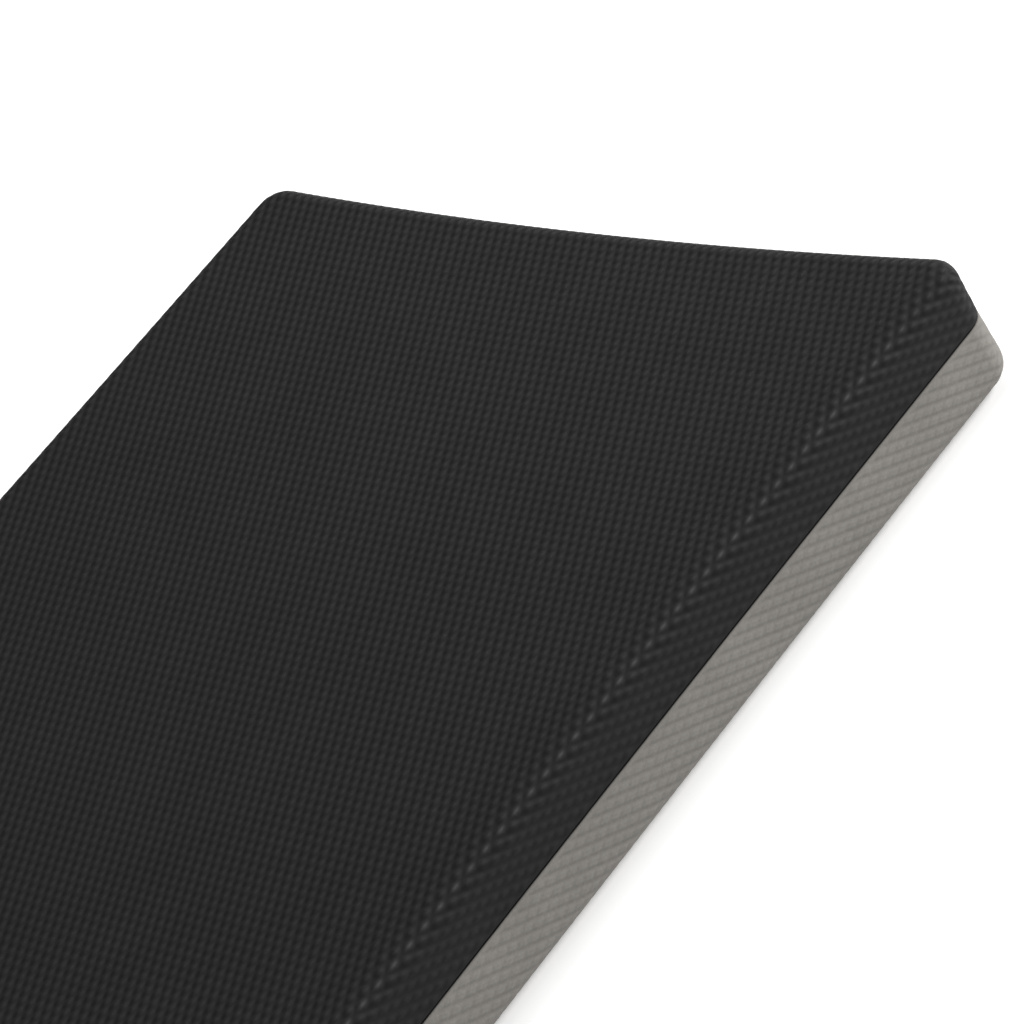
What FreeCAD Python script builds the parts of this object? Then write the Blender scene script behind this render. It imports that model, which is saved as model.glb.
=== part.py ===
import FreeCAD, Part
import os

# A foam balance pad in two colours. Two moulded halves, each a skin around its foam, are bonded
# together at about mid-height, and a bead fills the groove where the skins meet.
# Millimetres. X runs across the pad, Y along it and Z up. The origin is the middle of the base.

# Outer form
WIDTH = 410.0  # across, from long edge to long edge
LENGTH = 500.0  # along, from end to end
THICKNESS = 60.0  # from the base to the crests of the long edges
CORNER_RADIUS = 14.0  # of the corners in plan
TOP_ROUND = 9.0  # where the top turns into the sides
BASE_ROUND = 11.0  # where the base turns into the sides
DISH_DEPTH = 4.0  # how far the top sinks between the long edges
SIDE_WAIST = 1.3  # how far each long side curves in between its corners
END_WAIST = 2.3  # how far each end curves in between its corners
PINCH = 0.4  # how far the sides stand in at the seam, and lean out above and below it

# Layers and joint
SKIN = 1.6  # thickness of both skins
SEAM_HEIGHT = 32.0  # middle of the joint, above the base
SEAM_GAP = 0.8  # height between the rims of the two skins
SEAM_ROUND = 0.6  # rounding of each skin's outer rim
BEAD_SETBACK = 0.3  # from the sides to the bead's face
FILM = 0.4  # thickness of the adhesive between the foams

MARGIN = 50.0  # how far a cutting block reaches past the pad
TINY = 0.01  # slack when edges are picked by height
PARTS_FOLDER = "parts"


def hollow_reach(half_span, depth):
    """How far the centre of a shallow hollow's arc lies from the centre of the round at its end.

    The arc meets both rounds tangentially and sinks by depth between them.
    """
    return (half_span**2 + depth**2) / (2 * depth)


def block(low_z, high_z):
    """A block that takes in the whole pad in plan, between two heights."""
    size_x = WIDTH + 2 * MARGIN
    size_y = LENGTH + 2 * MARGIN
    corner = FreeCAD.Vector(-size_x / 2, -size_y / 2, low_z)
    return Part.makeBox(size_x, size_y, high_z - low_z, corner)


def flipped(point, sign_x, sign_y):
    return FreeCAD.Vector(sign_x * point.x, sign_y * point.y, point.z)


def plan_outline(inset):
    """The outline in plan, inset from the sides: four corner arcs joined by shallow hollows."""
    radius = CORNER_RADIUS - inset
    corner = FreeCAD.Vector(WIDTH / 2 - CORNER_RADIUS, LENGTH / 2 - CORNER_RADIUS, 0)
    side_reach = hollow_reach(corner.y, SIDE_WAIST)
    end_reach = hollow_reach(corner.x, END_WAIST)
    to_side = FreeCAD.Vector(side_reach - SIDE_WAIST, -corner.y, 0).normalize()
    to_end = FreeCAD.Vector(-corner.x, end_reach - END_WAIST, 0).normalize()
    outward = (to_side + to_end).normalize()
    quarter = [corner + direction * radius for direction in (to_side, outward, to_end)]
    side_middle = FreeCAD.Vector(WIDTH / 2 - SIDE_WAIST - inset, 0, 0)
    end_middle = FreeCAD.Vector(0, LENGTH / 2 - END_WAIST - inset, 0)

    corners = []
    hollows = []
    for sign_x, sign_y in ((1, 1), (-1, 1), (-1, -1), (1, -1)):
        points = [flipped(point, sign_x, sign_y) for point in quarter]
        if sign_x != sign_y:
            points.reverse()
        middle = end_middle if sign_x == sign_y else side_middle
        corners.append(points)
        hollows.append(flipped(middle, sign_x, sign_y))

    edges = []
    for index, (points, middle) in enumerate(zip(corners, hollows)):
        next_start = corners[(index + 1) % len(corners)][0]
        edges.append(Part.Arc(*points).toShape())
        edges.append(Part.Arc(points[-1], middle, next_start).toShape())
    return Part.Wire(edges)


def prism(inset, low_z, high_z):
    """The outline carried straight up from one height to another."""
    outline = plan_outline(inset)
    outline.translate(FreeCAD.Vector(0, 0, low_z))
    return Part.Face(outline).extrude(FreeCAD.Vector(0, 0, high_z - low_z))


def dished_slab(inset):
    """A long slab with a flat base and a dished top, both inset from the pad's own."""
    half = WIDTH / 2 + MARGIN
    reach = hollow_reach(WIDTH / 2 - TOP_ROUND, DISH_DEPTH)
    radius = reach - TOP_ROUND + inset
    middle_z = THICKNESS - DISH_DEPTH - inset
    edge_z = middle_z + radius - (radius**2 - half**2) ** 0.5
    start_y = -LENGTH / 2 - MARGIN
    low_left = FreeCAD.Vector(-half, start_y, inset)
    low_right = FreeCAD.Vector(half, start_y, inset)
    high_right = FreeCAD.Vector(half, start_y, edge_z)
    high_left = FreeCAD.Vector(-half, start_y, edge_z)
    middle = FreeCAD.Vector(0, start_y, middle_z)
    edges = [
        Part.makeLine(low_left, low_right),
        Part.makeLine(low_right, high_right),
        Part.Arc(high_right, middle, high_left).toShape(),
        Part.makeLine(high_left, low_left),
    ]
    return Part.Face(Part.Wire(edges)).extrude(FreeCAD.Vector(0, -2 * start_y, 0))


def leaning_walls(inset, full_z, end_z):
    """A block between the seam and end_z whose sides lean outwards from the seam.

    At full_z, where the pad's edge starts to turn, they have the pad's full width.
    """
    lean = PINCH / abs(full_z - SEAM_HEIGHT)
    overshoot = lean * abs(end_z - full_z)
    outlines = [plan_outline(inset + PINCH), plan_outline(inset - overshoot)]
    outlines[0].translate(FreeCAD.Vector(0, 0, SEAM_HEIGHT))
    outlines[1].translate(FreeCAD.Vector(0, 0, end_z))
    return Part.makeLoft(outlines, True, True)


def rounded(form, radius, low_z, high_z):
    """The form with its edges between two heights rounded."""
    edges = [
        edge
        for edge in form.Edges
        if edge.BoundBox.ZMin > low_z - TINY and edge.BoundBox.ZMax < high_z + TINY
    ]
    return form.makeFillet(radius, edges).Solids[0]


def top_form(inset):
    """The pad above the seam, inset from its outer surface."""
    walls = leaning_walls(inset, THICKNESS - TOP_ROUND, THICKNESS + MARGIN)
    form = walls.common(dished_slab(inset)).Solids[0]
    return rounded(form, TOP_ROUND - inset, SEAM_HEIGHT + TOP_ROUND, THICKNESS + MARGIN)


def base_form(inset):
    """The pad below the seam, inset from its outer surface."""
    walls = leaning_walls(inset, BASE_ROUND, -MARGIN)
    form = walls.common(block(inset, SEAM_HEIGHT)).Solids[0]
    return rounded(form, BASE_ROUND - inset, inset, inset)


def top_skin():
    """A tray, open below, with a rounded outer rim."""
    rim_z = SEAM_HEIGHT + SEAM_GAP / 2
    half = top_form(0).common(block(rim_z, THICKNESS + MARGIN)).Solids[0]
    return rounded(half, SEAM_ROUND, rim_z, rim_z).cut(top_form(SKIN)).Solids[0]


def bottom_skin():
    """A tray, open above, with a rounded outer rim."""
    rim_z = SEAM_HEIGHT - SEAM_GAP / 2
    half = base_form(0).common(block(-MARGIN, rim_z)).Solids[0]
    return rounded(half, SEAM_ROUND, rim_z, rim_z).cut(base_form(SKIN)).Solids[0]


def top_foam():
    return top_form(SKIN).common(block(SEAM_HEIGHT + FILM / 2, THICKNESS + MARGIN)).Solids[0]


def bottom_foam():
    return base_form(SKIN).common(block(-MARGIN, SEAM_HEIGHT - FILM / 2)).Solids[0]


def bond_film():
    return prism(PINCH + SKIN, SEAM_HEIGHT - FILM / 2, SEAM_HEIGHT + FILM / 2)


def seam_bead(foams_and_film):
    """The ring of adhesive that fills the gap between the rims, set back from the sides."""
    ring = prism(PINCH + BEAD_SETBACK, SEAM_HEIGHT - SEAM_GAP / 2, SEAM_HEIGHT + SEAM_GAP / 2)
    for piece in foams_and_film:
        ring = ring.cut(piece)
    return ring.Solids[0]


def main():
    nodes = {
        "top_skin": top_skin(),
        "bottom_skin": bottom_skin(),
        "top_foam": top_foam(),
        "bottom_foam": bottom_foam(),
        "bond_film": bond_film(),
    }
    foams_and_film = [nodes["top_foam"], nodes["bottom_foam"], nodes["bond_film"]]
    nodes["seam_bead"] = seam_bead(foams_and_film)
    os.makedirs(PARTS_FOLDER, exist_ok=True)
    for name, shape in nodes.items():
        shape.exportStep(os.path.join(PARTS_FOLDER, name + ".step"))
        box = shape.BoundBox
        print(
            f"{name}: valid {shape.isValid()}, {shape.ShapeType}, {shape.Volume / 1000:.1f} cm3, "
            f"{box.XLength:.2f} x {box.YLength:.2f} x {box.ZLength:.2f} from z {box.ZMin:.2f}"
        )


main()
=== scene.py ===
import math
from types import SimpleNamespace

import bpy
import numpy as np
from mathutils import Matrix, Vector


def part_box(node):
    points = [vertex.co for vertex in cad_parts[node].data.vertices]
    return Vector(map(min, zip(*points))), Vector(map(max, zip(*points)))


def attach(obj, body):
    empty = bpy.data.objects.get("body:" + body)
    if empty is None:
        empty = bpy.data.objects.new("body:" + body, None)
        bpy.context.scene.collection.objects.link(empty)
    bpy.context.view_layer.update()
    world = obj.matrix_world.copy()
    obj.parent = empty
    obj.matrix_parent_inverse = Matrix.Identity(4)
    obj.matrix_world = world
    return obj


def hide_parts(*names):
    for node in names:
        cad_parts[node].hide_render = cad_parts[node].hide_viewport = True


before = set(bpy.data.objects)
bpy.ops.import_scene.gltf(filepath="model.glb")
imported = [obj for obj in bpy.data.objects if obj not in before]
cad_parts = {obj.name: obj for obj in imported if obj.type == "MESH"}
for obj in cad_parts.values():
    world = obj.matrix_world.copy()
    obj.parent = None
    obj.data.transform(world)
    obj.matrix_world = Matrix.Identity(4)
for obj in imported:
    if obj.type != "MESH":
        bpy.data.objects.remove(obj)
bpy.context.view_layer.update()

# A foam balance pad: a black embossed skin over the top half, a warm grey one under it, an adhesive
# bead in the groove between them, and two foams with a film of adhesive inside. Metres.

MM = 0.001
BODY = "root"

# ---- Sizes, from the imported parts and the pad's own design ----
CREST_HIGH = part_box("top_skin")[1]
BASE_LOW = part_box("bottom_skin")[0]
BEAD_LOW, BEAD_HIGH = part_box("seam_bead")
FOAM_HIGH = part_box("top_foam")[1]
FILM_LOW, FILM_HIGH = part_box("bond_film")

HALF_WIDTH = CREST_HIGH.x
HALF_LENGTH = CREST_HIGH.y
TOP_Z = CREST_HIGH.z
BASE_Z = BASE_LOW.z
SEAM_Z = (BEAD_LOW.z + BEAD_HIGH.z) / 2
SKIN = HALF_WIDTH - FOAM_HIGH.x  # thickness of the skins
PINCH = FOAM_HIGH.x - FILM_HIGH.x  # how far the walls stand in at the seam
BEAD_SETBACK = HALF_WIDTH - PINCH - BEAD_HIGH.x  # from the rims' outer face to the bead's

CORNER_RADIUS = 14.0 * MM
TOP_ROUND = 9.0 * MM
BASE_ROUND = 11.0 * MM
RIM_ROUND = 0.6 * MM
DISH_DEPTH = 4.0 * MM
SIDE_WAIST = 1.3 * MM
END_WAIST = 2.3 * MM

# ---- Emboss: rows of pillows on a staggered lattice, parted by families a and b of grooves ----
INNER_HALF_WIDTH = HALF_WIDTH - CORNER_RADIUS
INNER_HALF_LENGTH = HALF_LENGTH - CORNER_RADIUS
CELLS_PER_PERIOD = 6  # mesh cells to one period of the lattice, each way
CELLS_X = 440  # mesh cells of the skins over the inner rectangle
CELLS_Y = 300
CELL_X = 2 * INNER_HALF_WIDTH / CELLS_X
CELL_Y = 2 * INNER_HALF_LENGTH / CELLS_Y
PERIOD_X = CELLS_PER_PERIOD * CELL_X  # 5.2 mm across the pad
PERIOD_Y = CELLS_PER_PERIOD * CELL_Y  # 9.4 mm along it
EMBOSS_DEPTH = 0.18 * MM
BLACK_RELIEF = 0.72 * MM  # further depth of the grooves, which the material adds
GREY_RELIEF = 0.28 * MM
BLACK_GROOVE = 0.48  # half the width of a groove, as a share of the spacing of its family
GREY_GROOVE = 0.36
RIM_PLAIN = 2.0 * MM  # height of the plain band at each rim
CREASE_ROW = 78  # the row of pillows, counted across from the middle, that lies on the crease
CREASE_WIDTH = 1.1 * MM
CREASE_RISE = 0.12 * MM  # how far the crease stands proud
CREASE_FADE = 0.8  # where the crease begins to fade, as a share of the way to the corners
CORNER_WORN = 0.12  # how far either side of a corner's middle the emboss is worn, as a share of the turn
WALL_BAND = 2.0 * MM  # how far either side of the turn the walls' own emboss takes over
WALL_WEAK = 0.45  # depth of the weaker family of grooves on the walls, as a share of the other's
FLAT_WEAK = 0.75  # and on the top and the base
PLAIN_DEPTH = 0.3  # how deep plain skin lies, as a share of the emboss's depth
CORNER_CELLS = 12
COARSE = 10  # cells each way of the plain face that closes a form on its inner side


def smoothstep(low, high, x):
    s = np.clip((x - low) / (high - low), 0.0, 1.0)
    return s * s * (3.0 - 2.0 * s)


def phases(u, v):
    """Where a place on the skin lies between the grooves of either family, in spacings."""
    return u / PERIOD_X + v / PERIOD_Y, u / PERIOD_X - v / PERIOD_Y


def strengths(wall, up):
    """How deep each family of grooves is, where wall is 1 on a wall and 0 on the top or the base.

    The family that is deeper on the walls is the one that slants the same way on both halves.
    """
    on_flat = (1.0, FLAT_WEAK)
    on_wall = (WALL_WEAK, 1.0) if up > 0 else (1.0, WALL_WEAK)
    return [flat + (upright - flat) * wall for flat, upright in zip(on_flat, on_wall)]


def pillow(phase_pair, strength_pair, groove):
    """The height of the emboss, from 0 in a groove to 1 on a pillow's crown."""
    height = 1.0
    for phase, strength in zip(phase_pair, strength_pair):
        crown = smoothstep(0.0, groove, np.abs(phase % 1.0 - 0.5))
        height = height * (1.0 - strength * (1.0 - crown))
    return np.sqrt(height)


# ---- Profiles: distance out from the inner rectangle, and height ----
def arc(centre_d, centre_z, radius, start_deg, end_deg, steps=24):
    """Points along an arc of the profile. 0 degrees points outwards and 90 up."""
    angles = np.radians(np.linspace(start_deg, end_deg, steps + 1))
    return [(centre_d + radius * math.cos(a), centre_z + radius * math.sin(a)) for a in angles]


def resampled(points, spacing):
    """The profile with even steps, and each point's distance along it."""
    points = np.array(points)
    steps = np.hypot(*np.diff(points, axis=0).T)
    keep = np.concatenate([[True], steps > 1e-9])
    points = points[keep]
    along = np.concatenate([[0.0], np.cumsum(np.hypot(*np.diff(points, axis=0).T))])
    count = max(2, round(along[-1] / spacing))
    at = np.linspace(0.0, along[-1], count + 1)
    return np.interp(at, along, points[:, 0]), np.interp(at, along, points[:, 1]), at


def face_profile(flat_z, edge_round, rim_z, up, inset, rim_round=0.0):
    """A half's face, from the flat top or base out, round the edge and along the wall."""
    edge_out = CORNER_RADIUS - inset
    centre_z = flat_z - up * edge_round
    points = [(0.0, flat_z)]
    points += arc(edge_out - edge_round, centre_z, edge_round, up * 90, 0)
    return points + [(edge_out - PINCH, rim_z + up * rim_round)]


def rim_profile(rim_z, up):
    """The rounded rim at the seam, from the wall's end to the rim's flat."""
    out = CORNER_RADIUS - PINCH - RIM_ROUND
    return arc(out, rim_z + up * RIM_ROUND, RIM_ROUND, 0, -up * 90, 6)


# ---- Meshes built of an inner grid and rings that run round it ----
def perimeter(cells_x, cells_y, corner_cells):
    """Places round the inner rectangle, anticlockwise, as one array for each of their values.

    These are the nearest point of the grid (i, j), the place (x, y), the direction out, and to_end:
    0 on a long side, 1 on an end, and a share of the turn between them at a corner.
    """
    places = []
    half_x, half_y = INNER_HALF_WIDTH, INNER_HALF_LENGTH
    for side in range(4):
        cells = cells_y if side % 2 == 0 else cells_x
        turn_x, turn_y = [(1, 1), (-1, 1), (-1, -1), (1, -1)][side]
        for k in range(cells + 1):
            s = 2.0 * k / cells - 1.0
            if side == 0:
                places.append((cells_x, k, half_x, s * half_y, 1, 0, 0.0))
            elif side == 1:
                places.append((cells_x - k, cells_y, -s * half_x, half_y, 0, 1, 1.0))
            elif side == 2:
                places.append((0, cells_y - k, -half_x, -s * half_y, -1, 0, 0.0))
            else:
                places.append((k, 0, s * half_x, -half_y, 0, -1, 1.0))
        grid_i = cells_x if turn_x > 0 else 0
        grid_j = cells_y if turn_y > 0 else 0
        for k in range(1, corner_cells):
            turned = k / corner_cells
            angle = math.pi / 2 * (side + turned)
            share = turned if side % 2 == 0 else 1.0 - turned
            out = (math.cos(angle), math.sin(angle))
            places.append((grid_i, grid_j, turn_x * half_x, turn_y * half_y, *out, share))
    i, j, x, y, out_x, out_y, to_end = np.array(places).T
    return SimpleNamespace(
        i=i.astype(int), j=j.astype(int), x=x, y=y, out_x=out_x, out_y=out_y, to_end=to_end
    )


def bent(points):
    """Curves the sides in between their corners, and dishes what lies above the seam."""
    x, y, z = points[:, 0].copy(), points[:, 1].copy(), points[:, 2].copy()
    hollow_y = np.clip(1.0 - (y / INNER_HALF_LENGTH) ** 2, 0.0, 1.0)
    hollow_x = np.clip(1.0 - (x / INNER_HALF_WIDTH) ** 2, 0.0, 1.0)
    crest = HALF_WIDTH - TOP_ROUND
    dish = DISH_DEPTH * np.clip(1.0 - (x / crest) ** 2, 0.0, 1.0)
    rise = np.clip((z - SEAM_Z) / (TOP_Z - TOP_ROUND - SEAM_Z), 0.0, 1.0)
    points = points.copy()
    points[:, 0] = x * (1.0 - SIDE_WAIST * hollow_y / HALF_WIDTH)
    points[:, 1] = y * (1.0 - END_WAIST * hollow_x / HALF_LENGTH)
    points[:, 2] = z - dish * rise
    return points


def make_mesh(name, points, quads, others=(), attributes=None):
    """A smooth mesh object from points, a table of quads and a list of other faces."""
    faces = [tuple(f) for f in np.asarray(quads).tolist()] + [tuple(f) for f in others]
    mesh = bpy.data.meshes.new(name)
    mesh.from_pydata(points.tolist(), [], faces)
    mesh.shade_smooth()
    for key, values in (attributes or {}).items():
        layer = mesh.attributes.new(key, "FLOAT", "POINT")
        layer.data.foreach_set("value", np.asarray(values, np.float32))
    mesh.update()
    ob = bpy.data.objects.new(name, mesh)
    bpy.context.scene.collection.objects.link(ob)
    return ob


def quad_normals(points, quads, count):
    """Smooth normals at the first count points, from the quads around them."""
    corners = points[quads]
    face = np.cross(corners[:, 2] - corners[:, 0], corners[:, 3] - corners[:, 1])
    normals = np.zeros_like(points)
    for k in range(4):
        np.add.at(normals, quads[:, k], face)
    normals = normals[:count]
    return normals / np.linalg.norm(normals, axis=1)[:, None]


class Form:
    """A closed form: a grid over the inner rectangle at one height, rings that follow a profile out
    and round, and a coarse cap that closes it at another height. up is 1 if the grid faces up and
    -1 if it faces down."""

    def __init__(self, cells_x, cells_y, corner_cells, flat_z, profile, cap_z, up):
        self.cells_x, self.cells_y, self.corner_cells = cells_x, cells_y, corner_cells
        self.places = perimeter(cells_x, cells_y, corner_cells)
        self.ring_d, self.ring_z, self.ring_t = (values[1:] for values in profile)
        self.grid_count = (cells_x + 1) * (cells_y + 1)
        self.ring_count = len(self.places.x)
        self.build_points(flat_z, cap_z)
        self.build_faces(up)

    def build_points(self, flat_z, cap_z):
        places = self.places
        x = np.linspace(-INNER_HALF_WIDTH, INNER_HALF_WIDTH, self.cells_x + 1)
        y = np.linspace(-INNER_HALF_LENGTH, INNER_HALF_LENGTH, self.cells_y + 1)
        grid_x, grid_y = np.meshgrid(x, y, indexing="ij")
        grid = np.stack([grid_x, grid_y, np.full_like(grid_x, flat_z)], axis=-1)
        ring_x = places.x + places.out_x * self.ring_d[:, None]
        ring_y = places.y + places.out_y * self.ring_d[:, None]
        ring_z = np.broadcast_to(self.ring_z[:, None], ring_x.shape)
        rings = np.stack([ring_x, ring_y, ring_z], axis=-1)
        steps = np.linspace(-1.0, 1.0, COARSE + 1)[1:-1]
        cap_x, cap_y = np.meshgrid(
            steps * INNER_HALF_WIDTH, steps * INNER_HALF_LENGTH, indexing="ij"
        )
        cap = np.stack([cap_x, cap_y, np.full_like(cap_x, cap_z)], axis=-1)
        self.points = np.concatenate([part.reshape(-1, 3) for part in (grid, rings, cap)])

    def ring(self, k):
        """The indices of the points of one ring."""
        start = self.grid_count + k * self.ring_count
        return np.arange(start, start + self.ring_count)

    def build_faces(self, up):
        index = np.arange(self.grid_count).reshape(self.cells_x + 1, self.cells_y + 1)
        grid = [index[:-1, :-1], index[1:, :-1], index[1:, 1:], index[:-1, 1:]]
        quads = [np.stack(grid, axis=-1).reshape(-1, 4)]
        others = []
        inner = index[self.places.i, self.places.j]
        first = self.ring(0)
        for k in range(self.ring_count):
            n = (k + 1) % self.ring_count
            if inner[k] == inner[n]:
                others.append((inner[k], first[k], first[n]))
            else:
                others.append((inner[k], first[k], first[n], inner[n]))
        for k in range(len(self.ring_d) - 1):
            near, far = self.ring(k), self.ring(k + 1)
            quads.append(np.stack([near, far, np.roll(far, -1), np.roll(near, -1)], axis=-1))
        self.quads = np.concatenate(quads)
        self.others = others + self.cap_faces()
        if up < 0:
            self.quads = self.quads[:, ::-1]
            self.others = [f[::-1] for f in self.others]

    def cap_faces(self):
        """The coarse cap: cells inside, and faces round the edge that take in the last ring."""
        last = self.ring(len(self.ring_d) - 1)
        first = self.grid_count + len(self.ring_d) * self.ring_count
        inner = np.arange(first, first + (COARSE - 1) ** 2).reshape(COARSE - 1, COARSE - 1)
        faces = []
        for i in range(COARSE - 2):
            for j in range(COARSE - 2):
                faces.append((inner[i, j], inner[i, j + 1], inner[i + 1, j + 1], inner[i + 1, j]))
        edge = COARSE - 2
        stops = [inner[edge, :], inner[::-1, edge], inner[0, ::-1], inner[:, 0]]
        cells = [self.cells_y, self.cells_x, self.cells_y, self.cells_x]
        start = 0
        for side in range(4):
            stride = cells[side] // COARSE
            for k in range(edge):
                low = start + (k + 1) * stride
                outer = last[low : low + stride + 1][::-1]
                faces.append((*outer, stops[side][k], stops[side][k + 1]))
            low = start + (COARSE - 1) * stride
            start += cells[side] + self.corner_cells
            high = start + cells[(side + 1) % 4] // COARSE
            outer = [last[m % self.ring_count] for m in range(high, low - 1, -1)]
            faces.append((*outer, stops[side][-1]))
        return faces

    def skin_place(self, outer_rings):
        """Where the grid's points and the first rings' lie on the flat embossed sheet, and how much
        of the emboss survives there. The sheet wraps over the edges and along the walls, and at the
        corners it passes from the one to the other."""
        grid = self.points[: self.grid_count]
        places = self.places
        t = self.ring_t[:outer_rings, None]
        x, y = np.abs(places.x), np.abs(places.y)
        rolled_u = x + np.abs(places.out_x) * t
        rolled_v = y + np.abs(places.out_y) * t
        corner_length = CORNER_RADIUS * math.pi / 2
        on_end = places.to_end > 0.5
        wall_u = np.where(on_end, x + corner_length * (1.0 - places.to_end), x + t)
        wall_v = np.where(on_end, y + t, y + corner_length * places.to_end)
        corner = (places.to_end > 0.0) & (places.to_end < 1.0)
        upright = np.where(corner, smoothstep(CORNER_RADIUS, 2 * CORNER_RADIUS, t), 0.0)
        u = rolled_u + (wall_u - rolled_u) * upright
        v = rolled_v + (wall_v - rolled_v) * upright
        mid_corner = 1.0 - smoothstep(0.0, CORNER_WORN, np.abs(places.to_end - 0.5))
        kept = 1.0 - smoothstep(CORNER_RADIUS / 2, CORNER_RADIUS, t) * mid_corner
        return (
            np.concatenate([grid[:, 0], (u * np.sign(places.x)).reshape(-1)]),
            np.concatenate([grid[:, 1], (v * np.sign(places.y)).reshape(-1)]),
            np.concatenate([np.ones(len(grid)), kept.reshape(-1)]),
        )


def crease_line(form, outer_rings):
    """How near each place is to the crease that runs along both long sides, from 0 to 1."""
    across = INNER_HALF_WIDTH + form.ring_t[:outer_rings, None]
    near = np.exp(-(((across - CREASE_ROW * PERIOD_X / 2) / CREASE_WIDTH) ** 2))
    along = np.abs(form.places.y) / INNER_HALF_LENGTH
    strength = (form.places.to_end == 0.0) * (1.0 - smoothstep(CREASE_FADE, 1.0, along))
    return np.concatenate([np.zeros(form.grid_count), (near * strength).reshape(-1)])


def profile_join(*pieces):
    """Joins resampled stretches of a profile end to end."""
    d, z, t = [], [], []
    total = 0.0
    for piece_d, piece_z, piece_t in pieces:
        skip = 1 if d else 0
        d.extend(piece_d[skip:])
        z.extend(piece_z[skip:])
        t.extend(piece_t[skip:] + total)
        total = t[-1]
    return np.array(d), np.array(z), np.array(t)


def embossed_tray(name, up, flat_z, edge_round, rim_z, groove, crease_share):
    """A half's skin: embossed outside, with a plain rounded rim and a plain inner face.

    crease_share is 1 if it has the creases and 0 if not.
    """
    face = resampled(face_profile(flat_z, edge_round, rim_z, up, 0.0, RIM_ROUND), CELL_X)
    rim = resampled(rim_profile(rim_z, up), RIM_ROUND / 4)
    inner_z = flat_z - up * SKIN
    inner_points = face_profile(inner_z, edge_round - SKIN, rim_z, up, SKIN)[:0:-1]
    inner_points += [(CORNER_RADIUS - edge_round - SKIN / 2, inner_z)]
    land = resampled([(rim[0][-1], rim_z), inner_points[0]], 1.0 * MM)
    profile = profile_join(face, rim, land, resampled(inner_points, 4.0 * MM))
    form = Form(CELLS_X, CELLS_Y, CORNER_CELLS, flat_z, profile, inner_z, up)
    # the outer rings are those of the face and the rim, less their shared ring and the centre
    outer_rings = len(face[0]) + len(rim[0]) - 2
    count = form.grid_count + outer_rings * form.ring_count
    u, v, kept = form.skin_place(outer_rings)
    above_rim = np.abs(form.points[:count, 2] - rim_z)
    kept = kept * smoothstep(RIM_ROUND, RIM_ROUND + RIM_PLAIN, above_rim)
    ring_t = form.ring_t[:outer_rings]
    ring_wall = smoothstep(CORNER_RADIUS - WALL_BAND, CORNER_RADIUS + WALL_BAND, ring_t)
    wall = np.concatenate([np.zeros(form.grid_count), np.repeat(ring_wall, form.ring_count)])
    crease = crease_share * crease_line(form, outer_rings)
    phase_pair = phases(u, v)
    strength_pair = strengths(wall, up)
    points = bent(form.points)
    normals = quad_normals(points, form.quads, count)
    sunk = (1.0 - pillow(phase_pair, strength_pair, groove)) * kept + PLAIN_DEPTH * (1.0 - kept)
    points[:count] += normals * (CREASE_RISE * crease - EMBOSS_DEPTH * sunk)[:, None]
    attributes = {
        "groove_a": phase_pair[0],
        "groove_b": phase_pair[1],
        "strength_a": strength_pair[0],
        "strength_b": strength_pair[1],
        "emboss": kept,
        "crease": crease,
    }
    attributes = {k: np.pad(a, (0, len(points) - count)) for k, a in attributes.items()}
    return make_mesh(name, points, form.quads, form.others, attributes)


top_skin = embossed_tray(
    "top_skin_embossed", 1, TOP_Z, TOP_ROUND, BEAD_HIGH.z, BLACK_GROOVE, 1.0
)
bottom_skin = embossed_tray(
    "bottom_skin_embossed", -1, BASE_Z, BASE_ROUND, BEAD_LOW.z, GREY_GROOVE, 0.0
)


# ---- Foams: plain closed blocks inside the skins ----
FOAM_CELLS_X = 40
FOAM_CELLS_Y = 50
FOAM_CORNER_CELLS = 6


def foam_block(name, up, flat_z, edge_round, joint_z):
    """The foam of one half, from the skin's inner face to the adhesive film."""
    outer_points = face_profile(flat_z - up * SKIN, edge_round - SKIN, joint_z, up, SKIN)
    outer = resampled(outer_points, 2.0 * MM)
    base = resampled([(outer[0][-1], joint_z), (5.0 * MM, joint_z)], 3.0 * MM)
    profile = profile_join(outer, base)
    form = Form(FOAM_CELLS_X, FOAM_CELLS_Y, FOAM_CORNER_CELLS, flat_z - up * SKIN, profile, joint_z, up)
    return make_mesh(name, bent(form.points), form.quads, form.others)


top_foam = foam_block("top_foam_block", 1, TOP_Z, TOP_ROUND, FILM_HIGH.z)
bottom_foam = foam_block("bottom_foam_block", -1, BASE_Z, BASE_ROUND, FILM_LOW.z)


# ---- Seam bead: a strand of adhesive pressed into the groove ----
BEAD_CELLS_X = 110
BEAD_CELLS_Y = 140
BEAD_CORNER_CELLS = 8
BEAD_UNEVEN = 0.05 * MM
BEAD_WAVES = (23, 41, 67, 97, 131)  # waves of unevenness in one turn round the pad


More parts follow.
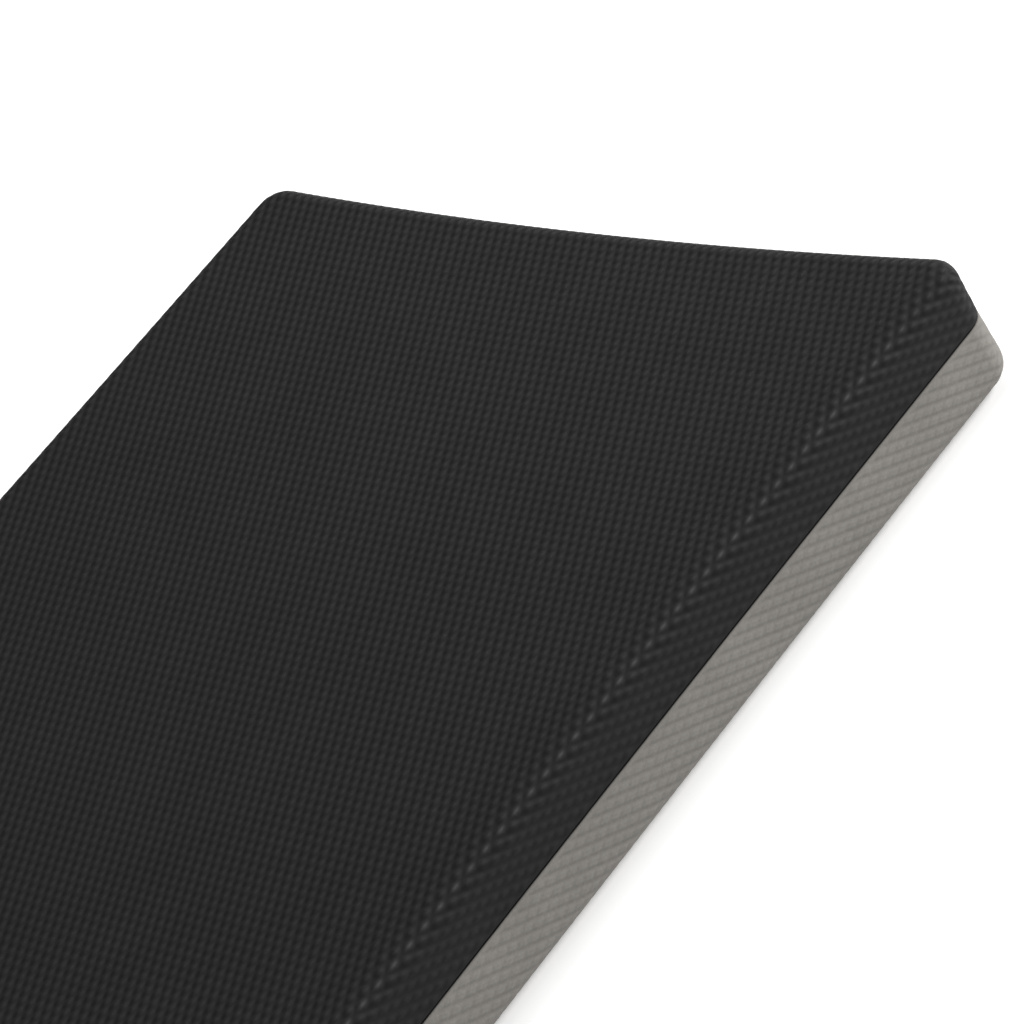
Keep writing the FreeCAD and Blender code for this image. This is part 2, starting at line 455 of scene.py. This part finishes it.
def seam_strand(name):
    """A ring that fills the groove between the rims, with a rounded and slightly uneven face."""
    places = perimeter(BEAD_CELLS_X, BEAD_CELLS_Y, BEAD_CORNER_CELLS)
    count = len(places.x)
    out = CORNER_RADIUS - PINCH - BEAD_SETBACK
    back = CORNER_RADIUS - PINCH - SKIN
    half_height = (BEAD_HIGH.z - BEAD_LOW.z) / 2
    face = arc(out - half_height, SEAM_Z, half_height, -90, 90, 6)
    section = [(back, BEAD_LOW.z)] + face + [(back, BEAD_HIGH.z)]
    rng = np.random.default_rng(7)
    around = np.linspace(0.0, 2 * math.pi, count, endpoint=False)
    uneven = sum(
        rng.normal(0.0, BEAD_UNEVEN) * np.sin(k * around + rng.uniform(0, 2 * math.pi))
        for k in BEAD_WAVES
    )
    rings = []
    for d, z in section:
        reach = d + uneven * (d - back) / (out - back)
        x = places.x + places.out_x * reach
        y = places.y + places.out_y * reach
        rings.append(np.stack([x, y, np.full_like(x, z)], axis=-1))
    points = bent(np.concatenate(rings))
    quads = []
    for k in range(len(section)):
        near = np.arange(count) + k * count
        far = np.arange(count) + (k + 1) % len(section) * count
        quads.append(np.stack([near, np.roll(near, -1), np.roll(far, -1), far], axis=-1))
    return make_mesh(name, points, np.concatenate(quads))


seam_bead = seam_strand("seam_bead_strand")


# ---- Materials ----
class Nodes:
    """Short calls for building a material's nodes."""

    def __init__(self, name):
        self.material = bpy.data.materials.new(name)
        self.material.use_nodes = True
        self.tree = self.material.node_tree
        self.shader = next(n for n in self.tree.nodes if n.type == "BSDF_PRINCIPLED")

    def add(self, kind, **values):
        node = self.tree.nodes.new(kind)
        for key, value in values.items():
            setattr(node, key, value)
        return node

    def link(self, source, target):
        self.tree.links.new(source, target)

    def coordinates(self):
        return self.add("ShaderNodeTexCoord").outputs["Object"]

    def noise(self, scale, detail=3.0, rough=0.5):
        node = self.add("ShaderNodeTexNoise")
        node.inputs["Scale"].default_value = scale
        node.inputs["Detail"].default_value = detail
        node.inputs["Roughness"].default_value = rough
        self.link(self.coordinates(), node.inputs["Vector"])
        return node.outputs["Fac"]

    def cells(self, scale):
        node = self.add("ShaderNodeTexVoronoi")
        node.inputs["Scale"].default_value = scale
        self.link(self.coordinates(), node.inputs["Vector"])
        return node.outputs["Distance"]

    def attribute(self, name):
        return self.add("ShaderNodeAttribute", attribute_name=name).outputs["Fac"]

    def fit(self, value, low, high, to_low, to_high):
        """Maps the range from low to high onto another."""
        node = self.add("ShaderNodeMapRange")
        self.link(value, node.inputs["Value"])
        limits = {"From Min": low, "From Max": high, "To Min": to_low, "To Max": to_high}
        for key, number in limits.items():
            node.inputs[key].default_value = number
        return node.outputs["Result"]

    def crown(self, phase, groove, strength):
        """How high the skin stands between two grooves of one family, up to 1."""
        offset = self.maths("SUBTRACT", self.maths("FRACT", phase, 0.0), 0.5)
        node = self.add("ShaderNodeMapRange", interpolation_type="SMOOTHSTEP")
        self.link(self.maths("ABSOLUTE", offset, 0.0), node.inputs["Value"])
        node.inputs["From Max"].default_value = groove
        depth = self.maths("SUBTRACT", 1.0, node.outputs["Result"])
        return self.maths("SUBTRACT", 1.0, self.maths("MULTIPLY", strength, depth))

    def maths(self, operation, first, second):
        node = self.add("ShaderNodeMath", operation=operation)
        for socket, value in zip(node.inputs, (first, second)):
            if isinstance(value, (int, float)):
                socket.default_value = value
            else:
                self.link(value, socket)
        return node.outputs[0]

    def mix(self, factor, first, second, blend="MIX"):
        node = self.add("ShaderNodeMix", data_type="RGBA", blend_type=blend)
        sockets = (node.inputs[0], node.inputs[6], node.inputs[7])
        for socket, value in zip(sockets, (factor, first, second)):
            if isinstance(value, (int, float)):
                socket.default_value = value
            elif isinstance(value, tuple):
                socket.default_value = (*value, 1.0)
            else:
                self.link(value, socket)
        return node.outputs[2]

    def bump(self, height, distance, strength=1.0, normal=None):
        node = self.add("ShaderNodeBump")
        node.inputs["Strength"].default_value = strength
        node.inputs["Distance"].default_value = distance
        self.link(height, node.inputs["Height"])
        if normal is not None:
            self.link(normal, node.inputs["Normal"])
        return node.outputs["Normal"]

    def finish(self, color, roughness, normal=None, specular=0.5):
        self.link(color, self.shader.inputs["Base Color"])
        self.link(roughness, self.shader.inputs["Roughness"])
        if normal is not None:
            self.link(normal, self.shader.inputs["Normal"])
        self.shader.inputs["Specular IOR Level"].default_value = specular
        return self.material


CREASE_HIGHLIGHT_COLOR = (0.05, 0.05, 0.05)  # painted highlight: the black skin paler on the crowns along the crease, where light catches the rounded edge


def skin_material(name, groove, depth, dark, pale, rough_groove, rough_crown, specular):
    """Moulded foam skin: pillows smoother on their crowns than in the grooves, grooves a little darker
    as painted shade, a painted highlight along a crease, soft clouding, fine pores and a fine grain."""
    n = Nodes(name)
    crown_a = n.crown(n.attribute("groove_a"), groove, n.attribute("strength_a"))
    crown_b = n.crown(n.attribute("groove_b"), groove, n.attribute("strength_b"))
    bumps = n.maths("MULTIPLY", crown_a, crown_b)
    sunk = n.maths("MULTIPLY", n.attribute("emboss"), n.maths("SUBTRACT", 1.0, bumps))
    height = n.maths("SUBTRACT", 1.0, sunk)
    # painted highlight on the crowns of the row of pillows along the crease
    crease_highlight = n.maths("MULTIPLY", n.attribute("crease"), bumps)
    clouds = n.fit(n.noise(28.0, 4.0, 0.6), 0.3, 0.7, 0.93, 1.07)
    specks = n.fit(n.noise(900.0, 2.0, 0.7), 0.35, 0.75, 0.93, 1.08)
    tone = n.maths("MULTIPLY", clouds, specks)
    grey = n.add("ShaderNodeCombineColor")
    for socket in grey.inputs[:3]:
        n.link(tone, socket)
    # painted shade: the grooves mixed towards dark and the crowns towards pale, then the painted crease
    # highlight over it
    skin = n.mix(crease_highlight, n.mix(height, dark, pale), CREASE_HIGHLIGHT_COLOR)
    color = n.mix(1.0, skin, grey.outputs[0], "MULTIPLY")
    rough = n.fit(height, 0.0, 1.0, rough_groove, rough_crown)
    rough = n.maths("ADD", rough, n.fit(n.noise(60.0, 3.0), 0.3, 0.7, -0.03, 0.03))
    relief = n.bump(height, depth)
    grain = n.bump(n.noise(1600.0, 2.0, 0.6), 0.05 * MM, 0.5, relief)
    pores = n.bump(n.cells(700.0), 0.03 * MM, 0.35, grain)
    return n.finish(color, rough, pores, specular)


def foam_material(name, cell, wall_color):
    """Closed cell foam: small cells with paler walls."""
    n = Nodes(name)
    cells = n.cells(650.0)
    fine = n.cells(1500.0)
    color = n.mix(n.fit(cells, 0.05, 0.6, 1.0, 0.0), wall_color, cell)
    rough = n.fit(n.noise(80.0), 0.3, 0.7, 0.85, 0.95)
    normal = n.bump(cells, 0.5 * MM, 0.7, n.bump(fine, 0.2 * MM, 0.4))
    return n.finish(color, rough, normal, 0.25)


def adhesive_material(name, dark, light, roughness, specular):
    """Set adhesive: a little uneven in tone and gloss."""
    n = Nodes(name)
    color = n.mix(n.fit(n.noise(180.0, 3.0), 0.35, 0.65, 0.0, 1.0), dark, light)
    rough = n.fit(n.noise(90.0, 3.0), 0.3, 0.7, roughness - 0.08, roughness + 0.08)
    normal = n.bump(n.noise(350.0, 3.0), 0.15 * MM, 0.6)
    return n.finish(color, rough, normal, specular)


FLOOR_GLOW = 0.33  # the floor is weakly lit from below, like a studio's light table


def floor_material(name):
    """Pale matt studio floor."""
    n = Nodes(name)
    clouds = n.fit(n.noise(3.0, 2.0), 0.3, 0.7, 0.0, 1.0)
    color = n.mix(clouds, (0.90, 0.90, 0.90), (0.92, 0.92, 0.92))
    rough = n.fit(n.noise(8.0), 0.3, 0.7, 0.85, 0.95)
    n.shader.inputs["Emission Color"].default_value = (1.0, 1.0, 1.0, 1.0)
    n.shader.inputs["Emission Strength"].default_value = FLOOR_GLOW
    return n.finish(color, rough, None, 0.1)


BLACK_SKIN = skin_material(
    "black_skin",
    groove=BLACK_GROOVE,
    depth=BLACK_RELIEF,
    # dark is the painted shade in the grooves, pale the crowns
    dark=(0.0152, 0.0152, 0.0152),
    pale=(0.0164, 0.0164, 0.0164),
    rough_groove=0.7,
    rough_crown=0.62,
    specular=0.1,
)
GREY_SKIN = skin_material(
    "grey_skin",
    groove=GREY_GROOVE,
    depth=GREY_RELIEF,
    # dark is the painted shade in the grooves, pale the crowns
    dark=(0.206, 0.196, 0.181),
    pale=(0.218, 0.208, 0.192),
    rough_groove=0.8,
    rough_crown=0.75,
    specular=0.1,
)
BLACK_FOAM = foam_material(
    "black_foam", cell=(0.016, 0.016, 0.017), wall_color=(0.04, 0.04, 0.042)
)
GREY_FOAM = foam_material(
    "grey_foam", cell=(0.15, 0.143, 0.132), wall_color=(0.27, 0.26, 0.24)
)
# near-black, darker than the black skin: the bead's own dark adhesive, and partly painted shade of the
# seam groove
SHADED_BEAD_ADHESIVE = adhesive_material(
    "bead_adhesive_painted_shade",
    dark=(0.003, 0.003, 0.003),
    light=(0.006, 0.006, 0.006),
    roughness=0.5,
    specular=0.05,
)
FILM_ADHESIVE = adhesive_material(
    "film_adhesive",
    dark=(0.22, 0.16, 0.08),
    light=(0.34, 0.27, 0.16),
    roughness=0.4,
    specular=0.4,
)


def dress(piece, material, node):
    """Gives a new piece its material, fixes it to the body, and hides the CAD part that it stands in
    for.
    """
    piece.data.materials.append(material)
    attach(piece, BODY)
    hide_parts(node)


dress(top_skin, BLACK_SKIN, "top_skin")
dress(bottom_skin, GREY_SKIN, "bottom_skin")
dress(top_foam, BLACK_FOAM, "top_foam")
dress(bottom_foam, GREY_FOAM, "bottom_foam")
dress(seam_bead, SHADED_BEAD_ADHESIVE, "seam_bead")
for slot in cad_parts["bond_film"].material_slots:
    slot.material = FILM_ADHESIVE


# ---- Stage: floor, lights and camera ----
FLOOR_REACH = 15.0  # from the middle to each side
WORLD_LIGHT = 0.25
PANELS = (
    # name, azimuth and elevation in degrees, distance and size in metres, power in watts
    ("key", 158, 20, 3.0, 1.0, 96),
    ("overhead", 0, 90, 1.3, 0.5, 5.5),
    ("back", 210, 30, 1.3, 0.5, 2.6),
)


def make_floor():
    corners = [(-1, -1), (1, -1), (1, 1), (-1, 1)]
    points = [(FLOOR_REACH * x, FLOOR_REACH * y, BASE_Z) for x, y in corners]
    mesh = bpy.data.meshes.new("floor")
    mesh.from_pydata(points, [], [(0, 1, 2, 3)])
    mesh.materials.append(floor_material("floor"))
    floor = bpy.data.objects.new("floor", mesh)
    bpy.context.scene.collection.objects.link(floor)


def make_panel(name, azimuth, elevation, distance, size, power):
    """A square soft light that faces the pad from an azimuth and elevation, in degrees."""
    lamp = bpy.data.lights.new(name, "AREA")
    lamp.energy = power
    lamp.size = size
    a, e = math.radians(azimuth), math.radians(elevation)
    towards = Vector((math.sin(a) * math.cos(e), -math.cos(a) * math.cos(e), math.sin(e)))
    ob = bpy.data.objects.new(name, lamp)
    ob.rotation_euler = towards.to_track_quat("Z", "Y").to_euler()
    ob.location = towards * distance
    ob.visible_camera = False
    bpy.context.scene.collection.objects.link(ob)


def make_world(strength):
    """Even, colourless light from all round."""
    world = bpy.data.worlds.new("studio")
    world.use_nodes = True
    background = world.node_tree.nodes["Background"]
    background.inputs["Color"].default_value = (1.0, 1.0, 1.0, 1.0)
    background.inputs["Strength"].default_value = strength
    bpy.context.scene.world = world


VIEW_AZIMUTH = 59.348
VIEW_ELEVATION = 32.608
VIEW_ROLL = 32.729
VIEW_DISTANCE = 2.0282
LENS = 184.554
SHIFT_ACROSS = 0.00829
SHIFT_UP = 0.00739
TARGET_ACROSS = 0.212  # of the pad's width, from its middle
TARGET_ALONG = 0.166  # of the pad's length, from its middle


def make_camera():
    """Looks down towards the far right corner, rolled so that the pad leans across the view."""
    a, e, roll = (math.radians(v) for v in (VIEW_AZIMUTH, VIEW_ELEVATION, VIEW_ROLL))
    back = Vector((math.sin(a) * math.cos(e), -math.cos(a) * math.cos(e), math.sin(e)))
    level = Vector((math.cos(a), math.sin(a), 0.0))
    upright = back.cross(level)
    right = math.cos(roll) * level - math.sin(roll) * upright
    up = back.cross(right)
    target = Vector((TARGET_ACROSS * 2 * HALF_WIDTH, TARGET_ALONG * 2 * HALF_LENGTH, TOP_Z))
    data = bpy.data.cameras.new("camera")
    data.lens = LENS
    data.sensor_width = 36.0
    data.shift_x = SHIFT_ACROSS
    data.shift_y = SHIFT_UP
    camera = bpy.data.objects.new("camera", data)
    turn = Matrix((right, up, back)).transposed().to_4x4()
    camera.matrix_world = Matrix.Translation(target + back * VIEW_DISTANCE) @ turn
    bpy.context.scene.collection.objects.link(camera)
    bpy.context.scene.camera = camera


make_floor()
make_world(WORLD_LIGHT)
for panel in PANELS:
    make_panel(*panel)
make_camera()
bpy.context.scene.view_settings.view_transform = "Standard"
